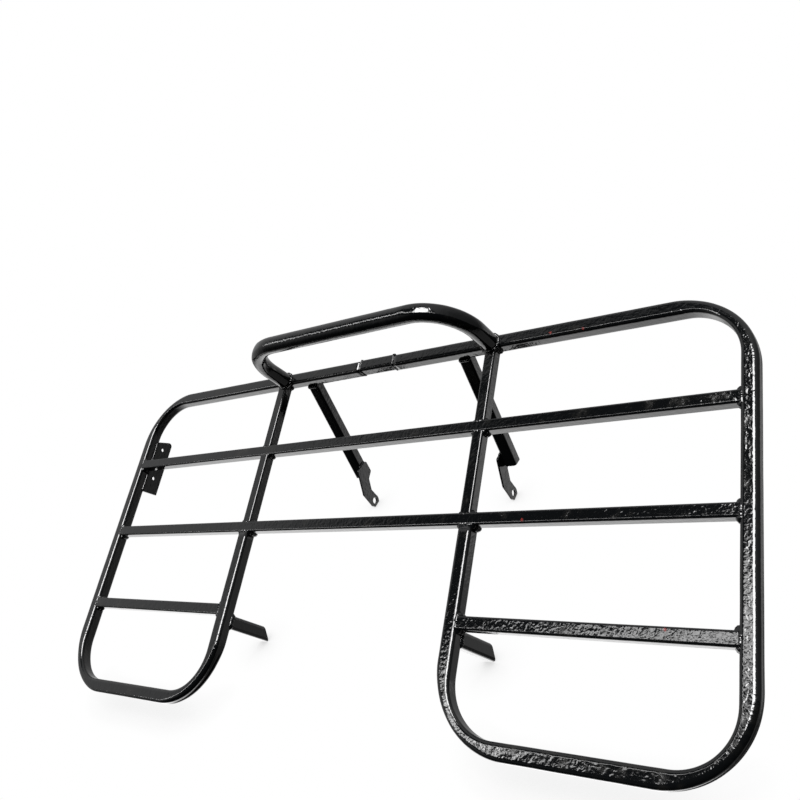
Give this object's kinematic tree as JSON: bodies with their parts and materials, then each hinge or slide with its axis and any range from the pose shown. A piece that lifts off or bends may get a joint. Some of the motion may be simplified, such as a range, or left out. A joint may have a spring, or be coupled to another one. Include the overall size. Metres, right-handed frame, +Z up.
{
  "type": "folding luggage rack",
  "caption": "Welded square-tube luggage carrier deck with rounded corners, crossbars, a raised round-tube hoop, and struts with bolt tabs below.",
  "frame": {"origin": "middle of the load deck, on the top face of the middle crossbar", "axes": "+X across the rack toward its right side, +Y toward the hoop, +Z up out of the load deck"},
  "size_m": [1.0712, 0.5242, 0.3297],
  "materials": {
    "black_paint": "gloss"
  },
  "bodies": {
    "root": {"crossbar_lower_left": "black_paint", "crossbar_lower_right": "black_paint", "crossbar_middle": "black_paint", "crossbar_upper": "black_paint", "frame_tube_left": "black_paint", "frame_tube_right": "black_paint", "hoop": "black_paint", "leg_left": "black_paint", "leg_right": "black_paint", "side_bracket": "black_paint", "strut_left": "black_paint", "strut_right": "black_paint", "strut_tab_left": "black_paint", "strut_tab_right": "black_paint", "top_bar_splice": "black_paint", "upright_middle_left": "black_paint", "upright_middle_right": "black_paint", "upright_upper_left": "black_paint", "upright_upper_right": "black_paint", "weld_bracket_back": "black_paint", "weld_bracket_front": "black_paint", "weld_hoop_left": "black_paint", "weld_hoop_right": "black_paint", "weld_leg_left": "black_paint", "weld_leg_right": "black_paint", "weld_loop_end_left": "black_paint", "weld_loop_end_right": "black_paint", "weld_lower_end_left": "black_paint", "weld_lower_end_right": "black_paint", "weld_lower_inner_left": "black_paint", "weld_lower_inner_right": "black_paint", "weld_middle_end_left": "black_paint", "weld_middle_end_right": "black_paint", "weld_middle_foot_left": "black_paint", "weld_middle_foot_right": "black_paint", "weld_middle_head_left": "black_paint", "weld_middle_head_right": "black_paint", "weld_splice_left": "black_paint", "weld_splice_right": "black_paint", "weld_strut_left": "black_paint", "weld_strut_right": "black_paint", "weld_tab_left": "black_paint", "weld_tab_right": "black_paint", "weld_upper_end_left": "black_paint", "weld_upper_end_right": "black_paint", "weld_upright_foot_left": "black_paint", "weld_upright_foot_right": "black_paint", "weld_upright_head_left": "black_paint", "weld_upright_head_right": "black_paint"}
  },
  "joints": []
}
